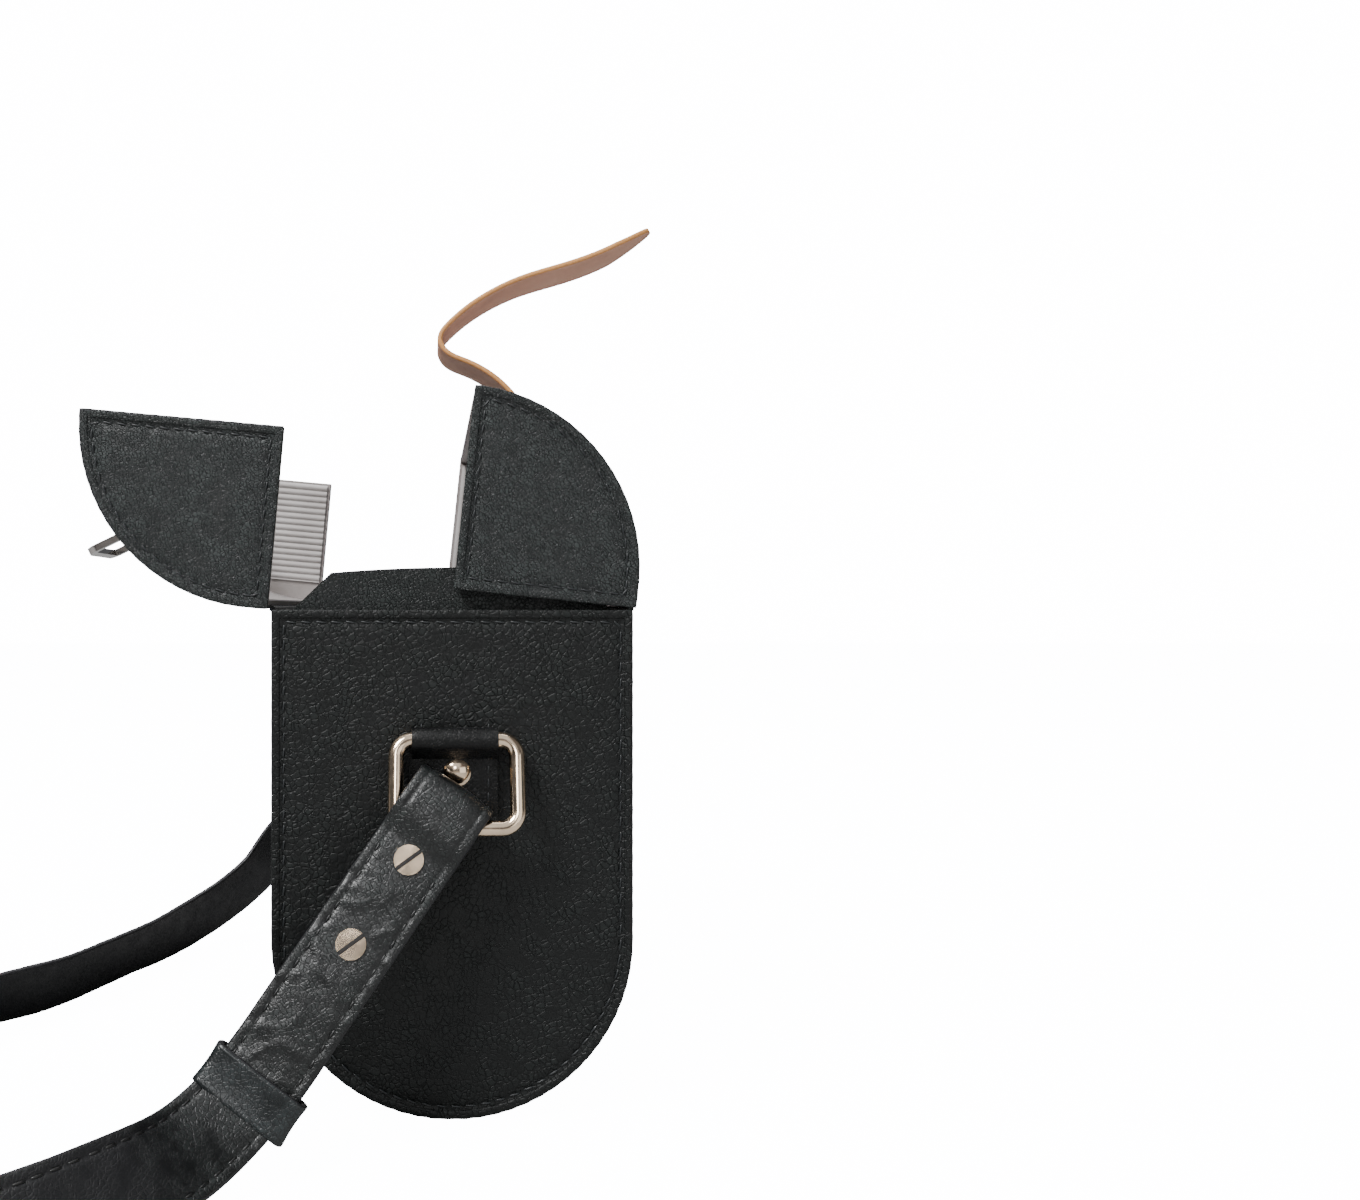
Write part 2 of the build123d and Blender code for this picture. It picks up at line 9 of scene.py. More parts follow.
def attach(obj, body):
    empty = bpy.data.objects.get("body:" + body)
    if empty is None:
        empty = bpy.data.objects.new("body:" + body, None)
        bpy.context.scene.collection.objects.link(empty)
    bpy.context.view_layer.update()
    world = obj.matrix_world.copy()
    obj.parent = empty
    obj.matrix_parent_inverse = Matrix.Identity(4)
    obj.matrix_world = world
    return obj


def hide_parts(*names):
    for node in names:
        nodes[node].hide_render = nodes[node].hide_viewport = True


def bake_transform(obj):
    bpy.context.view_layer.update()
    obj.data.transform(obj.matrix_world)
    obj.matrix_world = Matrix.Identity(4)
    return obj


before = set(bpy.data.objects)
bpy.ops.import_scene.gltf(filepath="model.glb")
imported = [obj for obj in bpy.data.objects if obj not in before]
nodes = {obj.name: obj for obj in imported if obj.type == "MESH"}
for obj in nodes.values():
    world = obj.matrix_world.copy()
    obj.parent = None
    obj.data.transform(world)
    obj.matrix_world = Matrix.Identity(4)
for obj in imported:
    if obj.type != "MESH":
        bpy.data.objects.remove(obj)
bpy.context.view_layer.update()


# ---- Mesh and material making ----
# Shapes are worked out in millimetres in the bag's frame and scaled to metres in one place.
# Colours are written as sRGB hex and linearised by one function.
def colour(code):
    """A linear colour from an sRGB hex code."""
    parts = [int(code[k:k + 2], 16) / 255 for k in (1, 3, 5)]
    return [p / 12.92 if p <= 0.04045 else ((p + 0.055) / 1.055) ** 2.4 for p in parts] + [1.0]


def add(tree, kind, settings=None, **links):
    """A node of a kind, with plain values or other nodes' sockets put on its inputs."""
    made = tree.nodes.new("ShaderNode" + kind)
    for key, value in (settings or {}).items():
        setattr(made, key, value)
    for key, value in links.items():
        socket = made.inputs[int(key[1:])] if key[0] == "n" and key[1:].isdigit() else made.inputs[key]
        if isinstance(value, bpy.types.NodeSocket):
            tree.links.new(value, socket)
        else:
            socket.default_value = value
    return made


def shader(name):
    """A fresh material's tree and its Principled node."""
    material = bpy.data.materials.new(name)
    material.use_nodes = True
    tree = material.node_tree
    return material, tree, next(n for n in tree.nodes if n.type == "BSDF_PRINCIPLED")


def ramp(tree, value, stops):
    """A colour ramp with its own stops of (place, colour)."""
    made = add(tree, "ValToRGB", Fac=value)
    points = made.color_ramp.elements
    points[0].position, points[0].color = stops[0]
    points[1].position, points[1].color = stops[-1]
    for place, shade in stops[1:-1]:
        points.new(place).color = shade
    return made.outputs["Color"]


def build(name, verts, faces, material, body, stands_for=(), edge_material=None, edge_faces=(), uvs=None):
    """A smooth mesh object from millimetre points, riding on a body."""
    made = bmesh.new()
    corners = [made.verts.new(Vector(v) * 0.001) for v in verts]
    layer = made.loops.layers.uv.new("UVMap") if uvs is not None else None
    for index, face in enumerate(faces):
        polygon = made.faces.new([corners[k] for k in face])
        polygon.smooth = True
        polygon.material_index = 1 if index in edge_faces else 0
        if layer is not None:
            for loop, k in zip(polygon.loops, face):
                loop[layer].uv = uvs[k]
    bmesh.ops.recalc_face_normals(made, faces=made.faces)
    mesh = bpy.data.meshes.new(name)
    made.to_mesh(mesh)
    made.free()
    mesh.materials.append(material)
    if edge_material is not None:
        mesh.materials.append(edge_material)
    piece = bpy.data.objects.new(name, mesh)
    bpy.context.scene.collection.objects.link(piece)
    if body:
        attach(piece, body)
    if stands_for:
        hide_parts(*stands_for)
    return piece


def paint(material, *names):
    """Gives CAD nodes a material."""
    for name in names:
        mesh = nodes[name].data
        mesh.materials.clear()
        mesh.materials.append(material)
        for polygon in mesh.polygons:
            polygon.material_index = 0


# ---- Leather ----
# Chrome-tanned calf with a printed pebble grain: cells of one to two millimetres between fine
# creases, small pores, slow unevenness of the board beneath, and a colour that drifts a little.
def leather(name, dark, light, cell, relief, rough, shine=0.42, own_uv=False, painted_shade_from=None):
    material, tree, skin = shader(name)
    place = add(tree, "TexCoord").outputs["UV" if own_uv else "Object"]
    warp = add(tree, "TexNoise", Vector=place, Scale=0.35 / cell, Detail=3.0).outputs["Color"]
    shift = add(tree, "VectorMath", {"operation": "SCALE"}, n0=warp, Scale=cell * 1.6).outputs["Vector"]
    bent = add(tree, "VectorMath", {"operation": "ADD"}, n0=place, n1=shift).outputs["Vector"]
    cracks = add(tree, "TexVoronoi", {"feature": "DISTANCE_TO_EDGE"}, Vector=bent, Scale=1 / cell,
                 Randomness=1.0).outputs["Distance"]
    pebble = add(tree, "MapRange", {"interpolation_type": "SMOOTHSTEP"}, Value=cracks, n1=0.0, n2=0.16)
    small = add(tree, "TexNoise", Vector=place, Scale=1.9 / cell, Detail=5.0, Roughness=0.6)
    broad = add(tree, "TexNoise", Vector=place, Scale=38.0, Detail=2.0).outputs["Fac"]
    patches = add(tree, "TexNoise", Vector=place, Scale=140.0, Detail=3.0).outputs["Fac"]
    depth = add(tree, "MapRange", Value=patches, n1=0.34, n2=0.62, n3=0.25, n4=1.0).outputs["Result"]
    cut = add(tree, "Math", {"operation": "MULTIPLY"}, n0=pebble.outputs["Result"], n1=depth)
    height = add(tree, "Math", {"operation": "MULTIPLY_ADD"}, n0=small.outputs["Fac"], n1=0.55,
                 n2=cut.outputs["Value"]).outputs["Value"]
    fine = add(tree, "Bump", Strength=1.0, Distance=relief, Height=height)
    slow = add(tree, "Bump", Strength=1.0, Distance=0.00096, Height=broad, Normal=fine.outputs["Normal"])
    tone = add(tree, "Math", {"operation": "MULTIPLY"}, n0=cut.outputs["Value"], n1=patches).outputs["Value"]
    shade = ramp(tree, tone, [(0.05, colour(dark)), (0.75, colour(light))])
    gloss = add(tree, "MapRange", Value=patches, n1=0.3, n2=0.7, n3=rough - 0.07, n4=rough + 0.08)
    polish = gloss.outputs["Result"]
    # Along the band, past a given length, the colour is pulled to near-black: painted shade where the strap's
    # lower run turns away from the light. The gloss is also made duller there.
    if painted_shade_from:
        along = add(tree, "SeparateXYZ", Vector=place).outputs["Y"]
        shaded_part = add(tree, "MapRange", Value=along, n1=painted_shade_from - 0.006, n2=painted_shade_from + 0.012).outputs["Result"]
        shade = add(tree, "Mix", {"data_type": "RGBA"}, n0=shaded_part, n6=shade, n7=colour("#06070a")).outputs[2]
        duller = add(tree, "Math", {"operation": "MULTIPLY_ADD"}, n0=shaded_part, n1=0.22, n2=polish)
        polish = duller.outputs["Value"]
    tree.links.new(shade, skin.inputs["Base Color"])
    tree.links.new(polish, skin.inputs["Roughness"])
    tree.links.new(slow.outputs["Normal"], skin.inputs["Normal"])
    skin.inputs["Specular IOR Level"].default_value = shine
    skin.inputs["IOR"].default_value = 1.48
    return material


body_leather = leather("calf_leather_pebbled", "#0a0c0c", "#191d1c", 0.0018, 0.00022, 0.50, 0.32)
lid_leather = leather("calf_leather_fine", "#161919", "#333938", 0.0010, 0.00030, 0.42)
collar_leather = leather("calf_leather_smooth", "#101313", "#232827", 0.0011, 0.00020, 0.45, 0.36)


def plain(name, code, rough, metallic=0.0, grain=0.0, size=0.0004, coat=0.0):
    """A simpler finish: one colour with fine noise in its relief and its gloss."""
    material, tree, skin = shader(name)
    place = add(tree, "TexCoord").outputs["Object"]
    specks = add(tree, "TexNoise", Vector=place, Scale=0.4 / size, Detail=4.0).outputs["Fac"]
    base = colour(code)
    low = [c * 0.78 for c in base[:3]] + [1.0]
    tree.links.new(ramp(tree, specks, [(0.3, low), (0.7, base)]), skin.inputs["Base Color"])
    gloss = add(tree, "MapRange", Value=specks, n1=0.3, n2=0.7, n3=rough * 0.8, n4=rough * 1.2)
    tree.links.new(gloss.outputs["Result"], skin.inputs["Roughness"])
    bump = add(tree, "Bump", Strength=1.0, Distance=grain, Height=specks)
    tree.links.new(bump.outputs["Normal"], skin.inputs["Normal"])
    skin.inputs["Metallic"].default_value = metallic
    skin.inputs["Coat Weight"].default_value = coat
    return material


thread = plain("waxed_thread_black", "#1d2022", 0.45, grain=0.00006, size=0.0003)
bag_board = plain("bag_board_grey", "#6d6a66", 0.9, grain=0.00003)
gold = plain("pale_gold_plating", "#fbe2c4", 0.15, metallic=1.0, grain=0.000004, size=0.0012)
nickel = plain("polished_nickel", "#b0aca9", 0.16, metallic=1.0, grain=0.000004, size=0.0012)


# ---- Outlines ----
# Each flat panel is a closed line of straight runs and arcs, run anticlockwise as seen from
# the near end. A ring is that line drawn in by an inset, trimmed where runs cross at corners.
stitch_pitch = 4.7


def run_points(part, inset):
    """One run drawn in by an inset, as close points with the way they go."""
    if len(part) == 2:
        first, last = np.array(part[0], float), np.array(part[1], float)
        way = (last - first) / np.linalg.norm(last - first)
        count = max(2, int(np.linalg.norm(last - first) / 0.1))
        inward = np.array([-way[1], way[0]])
        return first + np.linspace(0, 1, count)[:, None] * (last - first) + inward * inset
    centre, radius, low, high = part
    turn = np.radians(np.linspace(low, high, max(6, int(radius * radians(high - low) / 0.1))))
    return np.array(centre) + (radius - inset) * np.stack([np.cos(turn), np.sin(turn)], axis=1)


def ring_line(parts, inset, step=0.7):
    """A closed line at an inset, with the same number of points whatever the inset."""
    runs = [run_points(part, inset) for part in parts]
    plain_runs = [run_points(part, 0) for part in parts]
    for k in range(len(runs)):
        before, after = runs[k - 1], runs[k]
        if np.linalg.norm(before[-1] - after[0]) > 0.05:
            reach = int((inset + 2) * 14)
            tail, head = before[-reach:], after[:reach]
            gap = np.linalg.norm(tail[:, None] - head[None], axis=2)
            i, j = np.unravel_index(gap.argmin(), gap.shape)
            runs[k - 1] = before[:len(before) - len(tail) + i + 1]
            runs[k] = after[j:]
    points = []
    for run, whole in zip(runs, plain_runs):
        count = max(2, round(np.linalg.norm(np.diff(whole, axis=0), axis=1).sum() / step))
        reach = np.concatenate([[0], np.cumsum(np.linalg.norm(np.diff(run, axis=0), axis=1))])
        even = np.linspace(0, reach[-1], count + 1)[:-1]
        points.append(np.stack([np.interp(even, reach, run[:, k]) for k in (0, 1)], axis=1))
    return np.concatenate(points)


def shares(parts):
    """How far round the outer line each point is, from 0 to 1, and the line's length."""
    points = ring_line(parts, 0)
    steps = np.linalg.norm(np.diff(points, axis=0, append=points[:1]), axis=1)
    return np.concatenate([[0], np.cumsum(steps)[:-1]]) / steps.sum(), steps.sum()


def swept_rings(parts, profile, place, ripple):
    """Rings of points that follow a closed line at (inset, height, share of ripple)."""
    round_it, total = shares(parts)
    wave = np.cos(2 * pi * round(total / stitch_pitch) * round_it)
    middle = ring_line(parts, 0).mean(axis=0)
    verts = []
    for inset, height, share in profile:
        for p, w in zip(ring_line(parts, inset), wave):
            spot = p - (middle - p) / np.linalg.norm(middle - p) * share * ripple * 0.5 * w
            verts.append(place(spot[0], height + share * ripple * w, spot[1]))
    return verts, len(wave)


def quads(rows, count):
    """Faces between closed rings."""
    faces = []
    for row in range(rows - 1):
        for k in range(count):
            j = (k + 1) % count
            faces.append((row * count + k, row * count + j, (row + 1) * count + j, (row + 1) * count + k))
    return faces


def panel(name, parts, place, material, body, stands_for):
    """A leather panel: turned edge, a row of stitch holes pulled in, and a soft flat middle."""
    profile = [(0.0, -1.2, 0), (0.0, -0.5, 0), (0.15, -0.12, 0), (0.6, 0.0, 0), (2.3, 0.0, 0),
               (2.7, -0.08, 0.5), (3.15, -0.30, 1), (3.5, -0.36, 1), (3.9, -0.26, 0.8), (4.6, -0.06, 0.4),
               (5.9, 0.03, 0.1), (6.1, 0.03, 0)]
    verts, count = swept_rings(parts, profile, place, 0.10)
    faces = quads(len(profile), count)
    start = (len(profile) - 1) * count
    inner = ring_line(parts, profile[-1][0])
    middle = inner.mean(axis=0)
    verts.append(place(middle[0], profile[-1][1], middle[1]))
    faces += [(start + k, start + (k + 1) % count, len(verts) - 1) for k in range(count)]
    return build(name, verts, faces, material, body, stands_for)


def border(name, parts, place, material, body, stands_for=()):
    """The raised, turned edge that runs all round a panel."""
    profile = [(-0.10, -0.9, 0), (-0.18, -0.4, 0.4), (-0.20, 0.05, 0.7), (-0.12, 0.28, 0.8),
               (0.15, 0.42, 0.8), (0.7, 0.48, 0.6), (1.3, 0.46, 0.5), (1.9, 0.36, 0.6), (2.25, 0.20, 0.6),
               (2.4, -0.02, 0.3), (2.42, -0.25, 0)]
    verts, count = swept_rings(parts, profile, place, 0.09)
    return build(name, verts, quads(len(profile), count), material, body, stands_for)


def stitch_shape(verts, faces, centre, along, out, length, width, lift):
    """One thread stitch: a low pill between two holes, fullest in its middle."""
    side = along.cross(out).normalized()
    start = len(verts)
    rows, ring = 7, 8
    for i in range(rows):
        t = i / (rows - 1) * 2 - 1
        swell = sqrt(max(0.0, 1 - t ** 4)) * 0.9 + 0.1
        middle = centre + along * (t * length / 2) + out * (lift * (1 - t * t) - 0.12)
        for k in range(ring):
            a = 2 * pi * k / ring
            verts.append(middle + side * (cos(a) * width / 2 * swell) + out * (sin(a) * width / 2 * swell))
    for i in range(rows - 1):
        for k in range(ring):
            j = (k + 1) % ring
            faces.append((start + i * ring + k, start + i * ring + j, start + (i + 1) * ring + j,
                          start + (i + 1) * ring + k))
    faces.append(tuple(start + k for k in range(ring)))
    faces.append(tuple(start + (rows - 1) * ring + k for k in range(ring)))


def panel_stitches(name, parts, place, body, inset=3.45):
    """Stitches along a panel's edge, one to each ripple of the leather."""
    round_it, total = shares(parts)
    count = round(total / stitch_pitch)
    path = ring_line(parts, inset)
    closed = np.vstack([path, path[:1]])
    at = np.append(round_it, 1.0)
    verts, faces = [], []
    for k in range(count):
        ends = [np.array([np.interp((k + 0.5 + d) / count, at, closed[:, c]) for c in (0, 1)])
                for d in (-0.36, 0.36)]
        spot, way = (ends[0] + ends[1]) / 2, ends[1] - ends[0]
        here = Vector(place(spot[0], -0.30, spot[1]))
        ahead = (Vector(place(spot[0] + way[0], -0.30, spot[1] + way[1])) - here).normalized()
        out = (Vector(place(spot[0], 0.7, spot[1])) - here).normalized()
        slant = (ahead + ahead.cross(out) * 0.12).normalized()
        stitch_shape(verts, faces, here, slant, out, 3.5, 0.62, 0.22)
    return build(name, verts, faces, thread, body)


# ---- Body ----
# Two capsule-shaped end panels with turned edges, and one wall wrapped round between them.
half_length = 78.5
wide, mouth = 53, 149.4
body_line = [((-wide, mouth), (-wide, wide)), ((0, wide), wide, 180, 360), ((wide, wide), (wide, mouth)),
             ((wide, mouth), (-wide, mouth))]
for side, end in ((-1, "near"), (1, "far")):
    def on_end(x, lift, z, side=side):
        return (x, side * (half_length + lift), z)

    panel(f"{end}_end_panel", body_line, on_end, body_leather, "body", [f"{end}_end_leather"])
    border(f"{end}_end_border", body_line, on_end, body_leather, "body", [f"{end}_edge_binding"])
    panel_stitches(f"{end}_end_stitches", body_line, on_end, "body")
paint(body_leather, "body_wall_leather")
paint(bag_board, "body_wall_board", "near_end_board", "far_end_board")
paint(collar_leather, "near_collar", "far_collar", "front_hinge_strip", "back_hinge_strip")


# ---- Lids ----
# Quarter-round hoods worked out closed, as the front lid, then turned to where each one rests.
hinge_x, hinge_z = 54, 149.85
lid_base, lid_middle, lid_radius = 150.3, 156.6, 53.7
front_open, back_open = 84.8, 6.0
lid_line = [((-0.3, lid_base), (-0.3, 210.3)), ((-0.3, lid_middle), lid_radius, 90, 180),
            ((-hinge_x, lid_middle), (-hinge_x, lid_base)), ((-hinge_x, lid_base), (-0.3, lid_base))]


def front_place(side):
    """Closed-lid places turned with the front lid, on its near or far side."""
    turn = radians(front_open)

    def place(x, lift, z):
        dx, dz = x + hinge_x, z - hinge_z
        return (-hinge_x + dx * cos(turn) - dz * sin(turn), side * (half_length + lift),
                hinge_z + dx * sin(turn) + dz * cos(turn))
    return place


def back_place(side):
    """Closed-lid places mirrored and turned with the back lid."""
    turn = radians(back_open)

    def place(x, lift, z):
        dx, dz = -x - hinge_x, z - hinge_z
        return (hinge_x + dx * cos(turn) + dz * sin(turn), side * (half_length + lift),
                hinge_z - dx * sin(turn) + dz * cos(turn))
    return place


for lid, seat in (("front_lid", front_place), ("back_lid", back_place)):
    for side, end in ((-1, "near"), (1, "far")):
        spot = seat(side)
        panel(f"{lid}_{end}_panel", lid_line, spot, lid_leather, lid, [f"{lid}_{end}_leather"])
        gone = [f"{lid}_bindings"] if side < 0 else []
        border(f"{lid}_{end}_border", lid_line, spot, lid_leather, lid, gone)
        panel_stitches(f"{lid}_{end}_stitches", lid_line, spot, lid)
    paint(lid_leather, f"{lid}_wall_leather")
    paint(bag_board, f"{lid}_board", f"{lid}_near_board", f"{lid}_far_board")


# ---- Linings ----
# Light grey satin: plain where it lies flat, and pressed into ribs 2.6 mm apart on the panels
# inside the lids, with the sheen of a fine warp-faced weave.
def satin(name, light, dark):
    material, tree, skin = shader(name)
    place = add(tree, "TexCoord").outputs["Object"]
    weft = add(tree, "TexWave", {"wave_type": "BANDS", "bands_direction": "Z"}, Vector=place, Scale=900.0,
               Distortion=0.6, Detail=2.0).outputs["Fac"]
    soft = add(tree, "TexNoise", Vector=place, Scale=60.0, Detail=3.0).outputs["Fac"]
    tree.links.new(ramp(tree, soft, [(0.3, colour(dark)), (0.7, colour(light))]), skin.inputs["Base Color"])
    bump = add(tree, "Bump", Strength=0.6, Distance=0.00003, Height=weft)
    fall = add(tree, "Bump", Strength=0.7, Distance=0.0006, Height=soft, Normal=bump.outputs["Normal"])
    tree.links.new(fall.outputs["Normal"], skin.inputs["Normal"])
    skin.inputs["Roughness"].default_value = 0.42
    skin.inputs["Sheen Weight"].default_value = 0.35
    skin.inputs["Sheen Roughness"].default_value = 0.4
    return material


lining_satin = satin("satin_lining_grey", "#a39d9b", "#8d8683")
rib_satin = satin("satin_ribbed_grey", "#bcb8b6", "#a7a2a0")
paint(lining_satin, "body_wall_lining", "near_end_lining", "far_end_lining", "front_lid_lining",
      "back_lid_lining", "front_lid_near_lining", "front_lid_far_lining", "back_lid_near_lining",
      "back_lid_far_lining")


def rib_panel(name, seat, side, body, stands_for):
    """A ribbed satin sheet: rounded ribs with tight valleys, clipped to the lid's curve."""
    verts, faces = [], []
    pitch, columns, rows = 2.6, 160, 40
    face = half_length - 2.8 - 1.0
    place = seat(side)
    for i in range(columns + 1):
        x = -1.3 - 42.0 * i / columns
        lean = x + 0.3
        top = lid_middle + sqrt(max(0.0, (lid_radius - 3.8) ** 2 - lean ** 2))
        wave = abs(sin(pi * (x + 1.3) / pitch))
        lift = face - half_length + 0.62 - 0.85 * wave ** 0.7
        for k in range(rows + 1):
            z = 151.5 + (top - 151.5) * k / rows
            verts.append(place(x, lift, z))
    for i in range(columns):
        for k in range(rows):
            a = i * (rows + 1) + k
            faces.append((a, a + rows + 1, a + rows + 2, a + 1))
    return build(name, verts, faces, rib_satin, body, stands_for)


for lid, seat in (("front_lid", front_place), ("back_lid", back_place)):
    rib_panel(f"{lid}_near_ribs", seat, -1, lid, [f"{lid}_rib_panels"])
    rib_panel(f"{lid}_far_ribs", seat, 1, lid, [])


# ---- Hardware ----
# Pale gold rings, strap screws and rivets, and a bright nickel closing loop on its plate.
paint(gold, "near_ring", "far_ring", "near_strap_screws", "far_strap_screws", "near_strap_posts",
      "far_strap_posts", "ring_tab_rivets")
paint(nickel, "closing_loop", "loop_plate", "loop_rivets", "rivet_washers")


# ---- Ribbons ----
# Straps and tabs are flat bands with softened edges that follow a smooth line.
def smooth_line(points, step):
    """Evenly spaced points on a natural cubic spline through points."""
    points = np.array(points, float)
    knots = np.concatenate([[0], np.cumsum(np.linalg.norm(np.diff(points, axis=0), axis=1))])
    n = len(points)
    gap = np.diff(knots)
    system, right = np.eye(n), np.zeros((n, points.shape[1]))
    for k in range(1, n - 1):
        system[k, k - 1:k + 2] = gap[k - 1], 2 * (gap[k - 1] + gap[k]), gap[k]
        right[k] = 6 * ((points[k + 1] - points[k]) / gap[k] - (points[k] - points[k - 1]) / gap[k - 1])
    bend = np.linalg.solve(system, right)

    def at(t):
        k = np.clip(np.searchsorted(knots, t, "right") - 1, 0, n - 2)
        h, a, b = gap[k][:, None], (knots[k + 1] - t)[:, None], (t - knots[k])[:, None]
        return (bend[k] * a ** 3 + bend[k + 1] * b ** 3) / (6 * h) + (points[k] / h - bend[k] * h / 6) * a + \
            (points[k + 1] / h - bend[k + 1] * h / 6) * b
    dense = at(np.linspace(0, knots[-1], 60 * n))
    reach = np.concatenate([[0], np.cumsum(np.linalg.norm(np.diff(dense, axis=0), axis=1))])
    even = np.linspace(0, reach[-1], max(2, round(reach[-1] / step)) + 1)
    track = np.interp(even, reach, np.linspace(0, knots[-1], 60 * n))
    return at(track), even, track, knots


def directions(line):
    """Unit directions along a line."""
    way = np.gradient(line, axis=0)
    return way / np.linalg.norm(way, axis=1)[:, None]


def ribbon(name, line, across, half, thickness, material, edge, body, stands_for, relief=None, columns=26):
    """A band round a line: across lies in its width, half may change along it."""
    way = directions(line)
    across = across - way * np.sum(across * way, axis=1)[:, None]
    across /= np.linalg.norm(across, axis=1)[:, None]
    out = np.cross(way, across)
    soft = min(0.5, thickness * 0.3)
    verts, uvs, faces, edge_faces = [], [], [], set()
    section = [(-1 + 2 * k / columns, 1) for k in range(columns + 1)] + [("right", 0.4), ("right", -0.4)]
    section += [(1 - 2 * k / columns, -1) for k in range(columns + 1)] + [("left", -0.4), ("left", 0.4)]
    reach = np.concatenate([[0], np.cumsum(np.linalg.norm(np.diff(line, axis=0), axis=1))])
    for i in range(len(line)):
        for where, level in section:
            if isinstance(where, str):
                v = half[i] * (1 if where == "right" else -1)
                w = level * thickness / 2
            else:
                v = where * (half[i] - soft * 0.6)
                w = level * thickness / 2 * (0.93 if abs(where) == 1 else 1)
            lift = relief(reach[i], v, half[i], level) if relief else 0.0
            verts.append(line[i] + across[i] * v + out[i] * (w + lift))
            uvs.append((v * 0.001, reach[i] * 0.001))
    ring = len(section)
    for i in range(len(line) - 1):
        for k in range(ring):
            j = (k + 1) % ring
            if columns <= k <= columns + 2 or k >= 2 * columns + 3:
                edge_faces.add(len(faces))
            faces.append((i * ring + k, i * ring + j, (i + 1) * ring + j, (i + 1) * ring + k))
    for start, turn in ((0, 1), ((len(line) - 1) * ring, -1)):
        edge_faces.add(len(faces))
        faces.append(tuple(start + k for k in range(ring))[::turn])
    piece = build(name, verts, faces, material, None, (), edge, edge_faces, uvs)
    if stands_for:
        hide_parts(*stands_for)
    if body:
        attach(piece, body)
    return piece, (line, way, across, out, reach)


# Thread for the strap: black thread, darkened further as painted shade for the grooves its stitches lie in.
dark_thread = plain("waxed_thread_dark", "#070808", 0.4, grain=0.00006, size=0.0003)


def band_stitches(name, track, half, inset, side_out, low, high, body, thickness):
    """Two rows of stitches along a band, on one of its faces."""
    line, way, across, out, reach = track
    verts, faces = [], []
    count = int((high - low) / stitch_pitch)
    for k in range(count):
        s = low + (k + 0.5) * stitch_pitch
        i = int(np.searchsorted(reach, s))
        for side in (-1, 1):
            spot = line[i] + across[i] * side * (half - inset) + out[i] * side_out * (thickness / 2 - 0.05)
            away = Vector(out[i]) * side_out
            stitch_shape(verts, faces, Vector(spot), Vector(way[i]), away, 3.3, 0.75, 0.2)
    return build(name, verts, faces, dark_thread, body)


# ---- Shoulder strap ----
# Doubled bridle leather folded round each ring, creased where it flexes, then one layer
# that runs down to the floor, round a wide turn and up behind the bag to the other ring.
# The near strap turns near-black past the keeper: painted shade on its lower run, which faces away from the
# light.
strap_skin = leather("bridle_leather_creased", "#0a0c0c", "#1f2423", 0.0012, 0.00010, 0.37, 0.5, True, 0.296)
# The far half is the same leather, darkened to match the painted shade on the near strap's lower run so the
# two halves meet.
strap_far_shaded_skin = leather("bridle_leather_shaded_black", "#06070a", "#0c0e13", 0.0010, 0.00008, 0.50, 0.45, True)
strap_edge = plain("strap_edge_black", "#1b1b1e", 0.5, grain=0.00004)
strap_half_width, strap_thickness = 12.2, 2.0
tilt = radians(18.0)
ring_out = np.array([0.0, -cos(tilt), sin(tilt)])
ring_down = np.array([0.0, -sin(tilt), -cos(tilt)])
ring_middle = np.array([0.0, -82.1, 111.8])


def strap_frame(slope, ahead, aside):
    """The fold's place, the strap's way down and its way across, on the near ring's plane."""
    down = radians(slope)
    flat = np.array([-cos(down), -sin(down)])
    sideways = np.array([flat[1], -flat[0]])
    fold = np.array([-11.4, -20.5]) + flat * ahead + sideways * aside

    def lift(v):
        return np.array([v[0], 0, 0]) - ring_down * v[1]
    return ring_middle + lift(fold), lift(flat), lift(np.array([-flat[1], flat[0]]))


def fold_points(place, down, sink=1.0):
    """The centre line up the front layer, round the ring's wire and down the back layer."""
    lead_in = [(20.6, 1.1), (18.6, 1.75), (16.4, 2.8), (13, 3.6), (8, 3.7)]
    bend = [(4.6 - 3.6 * sin(radians(a)), 3.6 * cos(radians(a))) for a in (0, 45, 90, 135, 180)]
    shape = [(34, 1.0), (27, 1.0), (23, 1.0)] + lead_in + bend + [(s, -w) for s, w in lead_in[::-1]]
    shape += [(23, -sink), (27, -sink), (34, -sink)]
    return [place + down * s + ring_out * w for s, w in shape]


def creases(strength, seats=()):
    """Soft wrinkles askew over a band fuller in its middle, grooved along its rows of stitches."""
    def relief(s, v, half, level):
        much = strength(s)
        skew = Vector((s * 0.11 + v * 0.05, v * 0.07 - s * 0.02, 3.1))
        ridge = 1 - abs(noise.noise(skew)) * 3.4
        fine = noise.noise(Vector((s * 0.35, v * 0.28, 9.0)))
        for near in seats:
            if abs(s - near) < 9:
                much *= min(1.0, max(0.0, hypot(s - near, v) - 4.5) / 4.5)
        away = half - abs(v)
        groove = -0.42 * max(0.0, 1 - abs(away - 2.9) / 1.1) if level > 0 else 0.0
        crown = 0.7 * (1 - (v / half) ** 2) if level > 0 else 0.0
        return crown + much * (0.5 * max(0.0, ridge) ** 2 + 0.2 * fine) + groove
    return relief


